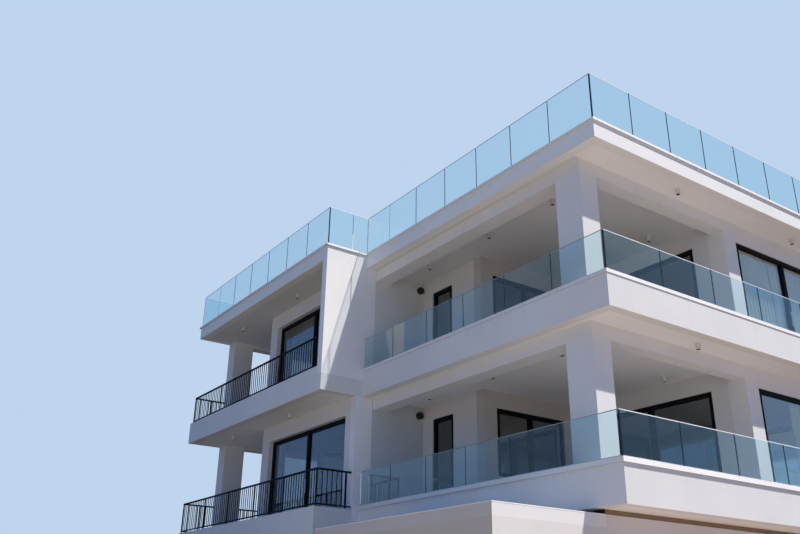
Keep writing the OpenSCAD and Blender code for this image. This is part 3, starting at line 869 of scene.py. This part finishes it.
def makeCurtains(storey):
    top = block["ceilings"][storey] - block["floors"][storey] - curtain["drop"]
    long = top - curtain["rise"]
    place = windowPlace(frontOf(storey), storey, leftSide)
    rail = makeCurtainRail(storey, top, place)
    for index, (start, end) in enumerate(curtain["spans"][storey]):
        folds = round((end - start) / curtain["foldLength"])
        bm = bmesh.new()
        made = bmesh.ops.create_grid(bm, x_segments=folds * curtain["columnsInFold"],
                                     y_segments=curtain["rows"], size=0.5)["verts"]
        for v in made:
            share, height = v.co.x + 0.5, v.co.y + 0.5
            wave = math.sin(share * folds * 2 * math.pi)
            ease = 1 - curtain["easeShare"] * height
            sway = math.sin(share * curtain["driftTurns"] + storey + index)
            drift = curtain["drift"] * sway * (1 - height)
            v.co = Vector((start + (end - start) * share + drift,
                           curtain["behind"] + curtain["foldDepth"] * ease * wave,
                           curtain["rise"] + long * height))
        bmesh.ops.transform(bm, matrix=place, verts=made)
        name = storeyNames[storey] + "_curtain_" + "ab"[index]
        piece = finishPiece(bm, name, "curtain", smooth=True)


for storey in range(len(storeyNames)):
    makeCurtains(storey)
print("curtains made")

guard = {
    "set": 0.02,
    "thick": 0.02,
    "heights": [0.73, 0.73, 0.990],
    "frontPitch": 1.46,
    "sidePitch": 1.255,
    "roofPitch": 1.085,
    "returnPitch": 0.68,
    "shortest": 0.2,           # of a pitch: a shorter last panel is part of the one before
    "clampShare": 0.45,
    "sealWide": 0.018,
    "sideSealWide": 0.012,
    "sealProud": 0.002,
    "sealFoot": 0.004,
    "sealShort": 0.002,
    "soft": 0.003,
    "capHigh": 0.014,
    "capGap": 0.008,
    "capIn": 0.001,
    "cornerWide": 0.021,
    "cornerFoot": 0.002,
    "cornerSoft": 0.002,
    "meetHalf": (0.006, 0.011),
    "channelHigh": 0.030,
    "channelThick": 0.012,
    "channelEnd": 0.002,
}


def joinsOf(length, pitch):
    count = math.ceil(length / pitch - guard["shortest"])
    return [i * pitch for i in range(1, count)]


def guardRuns(index):
    # each run: along, start corner, length, pitch, sides it is drawn on
    edge, inner = guard["set"], guard["set"] + guard["thick"]
    length, depth, wingY = block["length"], block["depth"], block["wingY"]
    onRoof = guardNames[index] == "roof"
    pitch = guard["roofPitch" if onRoof else "frontPitch"]
    front = ("x", (edge, edge), length - 2 * edge, pitch, [leftSide])
    if not onRoof:
        return [front, ("y", (edge, inner), wingY - edge - inner, guard["sidePitch"], bothSides)]
    wingEdge = edge - block["wingOut"]
    return [
        front,
        ("x", (wingEdge, depth - inner), length - 2 * wingEdge, pitch, [leftSide]),
        ("y", (edge, inner), wingY - inner, pitch, bothSides),
        ("x", (wingEdge, wingY + edge), block["wingOut"], guard["returnPitch"], bothSides),
        ("y", (wingEdge, wingY + inner), depth - wingY - 2 * inner, pitch, bothSides),
    ]


def makeGuardTrim(index):
    low, high = block["edgeTops"][index], guard["heights"][index]
    # painted highlight on the bright caps of the runs along x, painted shade on the dim caps and
    # joints of the runs along y
    seals, litEdges, shadedEdges, channels = bmesh.new(), bmesh.new(), bmesh.new(), bmesh.new()
    thick, gap, inset, soft = guard["thick"], guard["capGap"], guard["capIn"], guard["soft"]
    outside, inside = -guard["sealProud"], thick + guard["sealProud"]
    foot, sealTop, split = guard["sealFoot"], high - guard["sealShort"], high * guard["clampShare"]
    for along, start, length, pitch, sides in guardRuns(index):
        half = guard["sealWide" if along == "x" else "sideSealWide"] / 2
        joins = joinsOf(length, pitch)
        ends = [0.0, *joins, length]
        for side in sides:
            place = runPlace(along, start, low, side)
            for spot in joins:
                near, far = spot - half, spot + half
                # painted highlight in the pale strip below, painted shade in the dim one above
                if pitch == guard["returnPitch"]:    # pale below and clear above, not sealed
                    addBar(shadedEdges, (near, outside, split), (far, inside, sealTop), place, soft)
                    addBar(litEdges, (near, outside, foot), (far, inside, split), place, soft)
                else:
                    addBar(seals, (near, outside, foot), (far, inside, sealTop), place, soft)
            for near, far in zip(ends, ends[1:]):
                addBar(litEdges if along == "x" else shadedEdges, (near + gap, inset, high - inset),
                       (far - gap, thick - inset, high + guard["capHigh"]), place, soft)
            addBar(channels, (guard["channelEnd"], thick + hair, 0.0),
                   (length - guard["channelEnd"], thick + guard["channelThick"],
                    guard["channelHigh"]), place, guard["cornerSoft"])
    half, middle = guard["cornerWide"] / 2, guard["set"] + thick / 2
    foot, top = low + guard["cornerFoot"], low + high
    corners = [(middle, middle)]
    if guardNames[index] == "roof":
        edge, across = middle - block["wingOut"], middle + block["wingY"]
        corners += [(edge, across), (edge, block["depth"] - middle)]
        wide, deep = guard["meetHalf"]
        for side in bothSides:    # clear joint where the short return meets the long run
            addBar(shadedEdges, (middle - wide, across - deep, foot),
                   (middle + wide, across + deep, top), side, guard["cornerSoft"])
    for x, y in corners:
        for side in bothSides:
            addBar(seals, (x - half, y - half, foot), (x + half, y + half, top), side,
                   guard["cornerSoft"])
    name = guardNames[index]
    finishPiece(seals, name + "_guard_seals", "seal")
    finishPiece(litEdges, name + "_guard_lit_edges", "edge")
    finishPiece(shadedEdges, name + "_guard_shaded_edges", "shadedEdge")
    finishPiece(channels, name + "_guard_channels", "channel")


for index in range(len(guardNames)):
    makeGuardTrim(index)
print("guard seals, edges and channels made")

railing = {
    "x": -1.062,
    "back": 15.162,
    "rail": 0.038,
    "post": 0.030,
    "joint": 0.001,
    "starts": [7.55, 7.70],
    "postPitches": [1.55, 1.85],
    "lastPost": 0.155,
    "columnLeft": -0.145,
    "columnRight": 0.455,
    "plate": 0.084,
    "plateThick": 0.008,
    "plateSoft": 0.002,
    "bolt": 0.006,
    "boltTaper": 0.85,
    "boltHigh": 0.006,
    "boltOut": 0.030,
}


def postSpots(length, pitch):
    posts = max(1, round(length / pitch))
    thick = railing["post"]
    return [thick / 2 + i * (length - thick) / posts for i in range(posts + 1)]


def railingSpots(storey):
    # middles of the posts, in plan
    rail, post = railing["rail"], railing["post"]
    start, pitch = railing["starts"][storey], railing["postPitches"][storey]
    right, backY = railing["columnRight"], railing["back"] + rail / 2
    runX = railing["x"] + rail + railing["joint"]
    spots = [(railing["x"] + rail / 2, start + s)
             for s in postSpots(railing["back"] + rail - start, pitch)]
    spots.append((runX + (railing["columnLeft"] - runX + post) / 2, backY))
    spots += [(right + s, backY) for s in postSpots(block["terraceX"] - right, pitch)]
    if storey == 0:
        spots.append((block["wingX"] - railing["lastPost"] + post / 2, start + rail / 2))
    return spots


def makeRailingTrim(storey):
    # a plate with four bolts under each post
    plates, bolts = bmesh.new(), bmesh.new()
    low = block["bandTops"][storey]
    top, half = low + railing["plateThick"], railing["plate"] / 2
    radius, offsets = railing["bolt"], (-railing["boltOut"], railing["boltOut"])
    for x, y in railingSpots(storey):
        for side in bothSides:
            addBar(plates, (x - half, y - half, low), (x + half, y + half, top), side,
                   railing["plateSoft"])
            for spot in [(x + dx, y + dy, top) for dx in offsets for dy in offsets]:
                addRound(bolts, radius, radius * railing["boltTaper"], railing["boltHigh"],
                         side @ Matrix.Translation(spot), segments=6)
    name = storeyNames[storey + 1]
    finishPiece(plates, name + "_railing_plates", "rail")
    finishPiece(bolts, name + "_railing_bolts", "steel")


for storey in range(2):
    makeRailingTrim(storey)
print("railing plates made")

wallLamp = {
    "x": 1.62,
    "drop": 0.215,
    "radius": 0.085,
    "depth": 0.07,
    "ring": [(0.004, -0.012), (0.004, 0.006), (-0.006, 0.010), (-0.014, 0.002), (-0.014, -0.012)],
    "ringSteps": 28,
    "domeIn": 0.016,
    "domeFlat": 0.45,
}
spotLight = {
    "radius": 0.045,
    "height": 0.12,
    "middles": [-3.92, 0.0, 3.92],
    "frontY": 0.395,
    "sides": [(4.055, 2.19), (1.105, 2.19), (4.055, 4.18), (1.105, 4.18), (1.105, 6.375),
              (-0.52, 10.05), (-0.52, 13.40)],
    "lens": (0.80, 0.86),     # shares of the radius, below and above
    "lensLow": 0.003,
    "lensThick": 0.006,
    "lensSoft": 0.001,
}


def addLamp(rings, domes, spot):
    # a turned rim round a flattened dome
    radius = wallLamp["radius"]
    known = set(rings.verts)
    loop = [rings.verts.new((radius + out, 0, up)) for out, up in wallLamp["ring"]]
    edges = [rings.edges.new(pair) for pair in zip(loop, loop[1:] + loop[:1])]
    bmesh.ops.spin(rings, geom=loop + edges, cent=(0, 0, 0), axis=(0, 0, 1), angle=2 * math.pi,
                   steps=wallLamp["ringSteps"], use_merge=True)
    added = [v for v in rings.verts if v not in known]
    bmesh.ops.transform(rings, matrix=spot, verts=added)
    made = bmesh.ops.create_uvsphere(domes, u_segments=24, v_segments=12,
                                     radius=radius - wallLamp["domeIn"])["verts"]
    bmesh.ops.scale(domes, vec=(1, 1, wallLamp["domeFlat"]), verts=made)
    bmesh.ops.transform(domes, matrix=spot, verts=made)


def makeLampDetails():
    rings, domes, lenses = bmesh.new(), bmesh.new(), bmesh.new()
    frontY = spotLight["frontY"]
    places = [(block["length"] / 2 + m, frontY, leftSide) for m in spotLight["middles"]]
    places += [(x, y, side) for x, y in spotLight["sides"] for side in bothSides]
    lensLow, lensHigh = [spotLight["radius"] * share for share in spotLight["lens"]]
    for ceiling in block["ceilings"][1:]:
        face = (wallLamp["x"], block["wingY"] - wallLamp["depth"], ceiling - wallLamp["drop"])
        for side in bothSides:
            addLamp(rings, domes, side @ Matrix.Translation(face) @ outwards)
        low = ceiling - spotLight["height"] - spotLight["lensLow"]
        for x, y, side in places:
            spot = side @ Matrix.Translation((x, y, low))
            addRound(lenses, lensLow, lensHigh, spotLight["lensThick"], spot, segments=20,
                     softness=spotLight["lensSoft"])
    finishPiece(rings, "wall_lamp_rings", "lamp")
    finishPiece(domes, "wall_lamp_domes", "lens", smooth=True)
    finishPiece(lenses, "ceiling_spot_lenses", "lamp")


makeLampDetails()
print("lamp details made")

roofEdge = {"high": 0.014, "out": 0.004, "over": 0.003, "short": 0.002, "gap": 0.0002}
board = {"thick": 0.012, "gap": 0.003, "endGap": 0.002}
trimSoft = 0.002


def makeBlockTrim():
    # thin edge round the side blocks' roofs
    bm = bmesh.new()
    front, back = block["groundSet"], block["blockBack"]
    left, right = -block["blockOut"], block["blockReach"] - roofEdge["short"]
    low, high = block["blockTop"] - roofEdge["high"], block["blockTop"] + roofEdge["over"]
    out, gap = roofEdge["out"], roofEdge["gap"]
    spans = [((left - out, front - out), (right, front - gap)),
             ((left - out, front - out), (left - gap, back + out)),
             ((left - out, back + gap), (right, back + out))]
    for side in bothSides:
        for start, end in spans:
            addBar(bm, (*start, low), (*end, high), side, trimSoft)
    finishPiece(bm, "side_block_roof_edges", "coping")


def makeGrooveBoard():
    # the board in the groove under the first slab, its dark brown partly painted shade, and a
    # near-black lining at each end of it, which is painted shade
    gap, thick, reach = board["gap"], board["thick"], block["blockReach"]
    front = block["groundSet"]
    face = front + block["grooveDeep"]
    low, high = block["blockTop"] + gap, block["ceilings"][0] - gap
    bm = bmesh.new()
    addBar(bm, (reach + gap, face - thick, low), (block["length"] - reach - gap, face - hair, high),
           leftSide, trimSoft)
    finishPiece(bm, "front_groove_shade_board", "board")
    bm = bmesh.new()
    for side in bothSides:
        addBar(bm, (reach - thick, front + board["endGap"], low),
               (reach - hair, front + block["wallThick"], high), side, trimSoft)
    finishPiece(bm, "groove_end_shade_linings", "lamp")


makeBlockTrim()
makeGrooveBoard()
print("side block edges and joint board made")

studio = {
    "backdrop": (0.52, 0.66, 0.85),
    "mirroredShade": (0.08, 0.20, 0.48),
    "mirroredSunny": (0.19, 0.41, 0.78),
    "sunward": (0.566, 0.824),
    "ambient": (0.093, 0.222, 0.505),
    "floorRadius": 260.0,
    "floorSeen": (0.67, 0.65, 0.625),
    "floorCloud": 0.98,
    "floorFront": (0.60, 0.47, 0.42),
    "floorRight": (0.165, 0.115, 0.10),
    "floorNear": (0.42, 0.28, 0.19),
    "floorSides": (0.60, 0.50, 0.37),
    "floorBack": (0.085, 0.076, 0.066),
    "frontToRight": (-3.5, 3.5),       # x over which one tone turns into the next
    "frontStarts": (-14.0, -5.0),
    "frontToNear": (-11.5, -8.5),      # the same in y
    "frontEnds": (-9.5, -6.5),
    "sidesToBack": (-3.0, 2.0),
    "sunStrength": 4.30,
    "sunColour": (1.0, 0.925, 0.82),
    "sunSoft": 1.0,
    "sunTravel": (-0.470, 1.0, -1.75),
    "fillStrength": 0.30,
    "fillSoft": 30.0,
    "fillTravel": (0.25, -1.0, -0.45),
}


def floorTone(start, place):
    # pale where the camera sees it, and warmer or darker where it only lights the walls
    def mix(factor, first, second):
        return start.blend(factor, rgb(*studio[first]), rgb(*studio[second]))

    across, away = start.axis(place, "X"), start.axis(place, "Y")
    far = mix(across.rise(*studio["frontToRight"]), "floorFront", "floorRight")
    near = rgb(*studio["floorNear"])
    ahead = start.blend(away.rise(*studio["frontToNear"]), far, near)
    beside = mix(away.rise(*studio["sidesToBack"]), "floorSides", "floorBack")
    front = (1 - away.rise(*studio["frontEnds"])) * across.rise(*studio["frontStarts"])
    unseen = start.blend(front, beside, ahead)
    cloud = start.noise(place, scale=0.05, detail=3.0)
    cloudy = shaded(studio["floorSeen"], studio["floorCloud"])
    pale = start.blend(cloud, cloudy, rgb(*studio["floorSeen"]))
    return start.blend(start.ray("Camera"), unseen, pale)


def makeStage():
    bm = bmesh.new()
    bmesh.ops.create_circle(bm, cap_ends=True, segments=96, radius=studio["floorRadius"])
    mesh = bpy.data.meshes.new("studioFloor")
    bm.to_mesh(mesh)
    bm.free()
    material, start, place = newFinish("studioFloor")
    sockets = {"Base Color": floorTone(start, place), "Roughness": 0.9}
    showSurface(start, start.node("ShaderNodeBsdfPrincipled", sockets))
    mesh.materials.append(material)
    floor = bpy.data.objects.new("studioFloor", mesh)
    bpy.context.scene.collection.objects.link(floor)


def makeSun(name, travel, strength, softness, colour=(1, 1, 1), mirrored=True):
    lamp = bpy.data.lights.new(name, "SUN")
    lamp.energy = strength
    lamp.color = colour
    lamp.angle = math.radians(softness)
    sun = bpy.data.objects.new(name, lamp)
    sun.rotation_euler = Vector(travel).to_track_quat("-Z", "Y").to_euler()
    sun.visible_glossy = mirrored
    sun.visible_transmission = mirrored
    bpy.context.scene.collection.objects.link(sun)


def makeWorld():
    # a plain backdrop, a soft sky that lights the block, and a deeper one that its glass mirrors
    world = bpy.data.worlds.new("studioWorld")
    world.use_nodes = True
    world.node_tree.nodes.clear()
    start = Wire(world.node_tree)
    through = start.ray("Transmission")
    heading = start.node("ShaderNodeTexCoord", output="Generated")
    right, front = studio["sunward"]
    sunward = start.axis(heading, "X") * right - start.axis(heading, "Y") * front
    mirrored = start.blend(sunward.rise(-0.5, 0.5), rgb(*studio["mirroredShade"]),
                           rgb(*studio["mirroredSunny"]))
    seen = start.ray("Camera").maths("MAXIMUM", through)
    colour = start.blend(seen, rgb(*studio["ambient"]), rgb(*studio["backdrop"]))
    colour = start.blend(start.ray("Glossy") * (1 - through), colour, mirrored)
    sky = start.node("ShaderNodeBackground", {"Color": colour, "Strength": 1.0})
    start.node("ShaderNodeOutputWorld", {"Surface": sky})
    bpy.context.scene.world = world


photoCamera = {
    "lens": 37.778,
    "sensor": 36.0,
    "reach": 600.0,
    "place": (-16.7667, -16.2201, 1.5376),
    "right": (0.82019, -0.57188, 0.01521),
    "up": (-0.23814, -0.31712, 0.91800),
    "back": (-0.52016, -0.75656, -0.39628),
}


def makeCamera():
    lens = bpy.data.cameras.new("photoCamera")
    lens.sensor_fit = "HORIZONTAL"
    lens.sensor_width = photoCamera["sensor"]
    lens.lens = photoCamera["lens"]
    lens.clip_end = photoCamera["reach"]
    camera = bpy.data.objects.new("photoCamera", lens)
    axes = (photoCamera["right"], photoCamera["up"], photoCamera["back"])
    turn = Matrix(axes).transposed().to_4x4()
    camera.matrix_world = Matrix.Translation(photoCamera["place"]) @ turn
    bpy.context.scene.collection.objects.link(camera)
    bpy.context.scene.camera = camera


makeStage()
makeSun("keySun", studio["sunTravel"], studio["sunStrength"], studio["sunSoft"],
        studio["sunColour"])
makeSun("fillSun", studio["fillTravel"], studio["fillStrength"], studio["fillSoft"],
        mirrored=False)
makeWorld()
makeCamera()
bpy.context.scene.view_settings.view_transform = "Standard"
print("stage, lights and camera made")
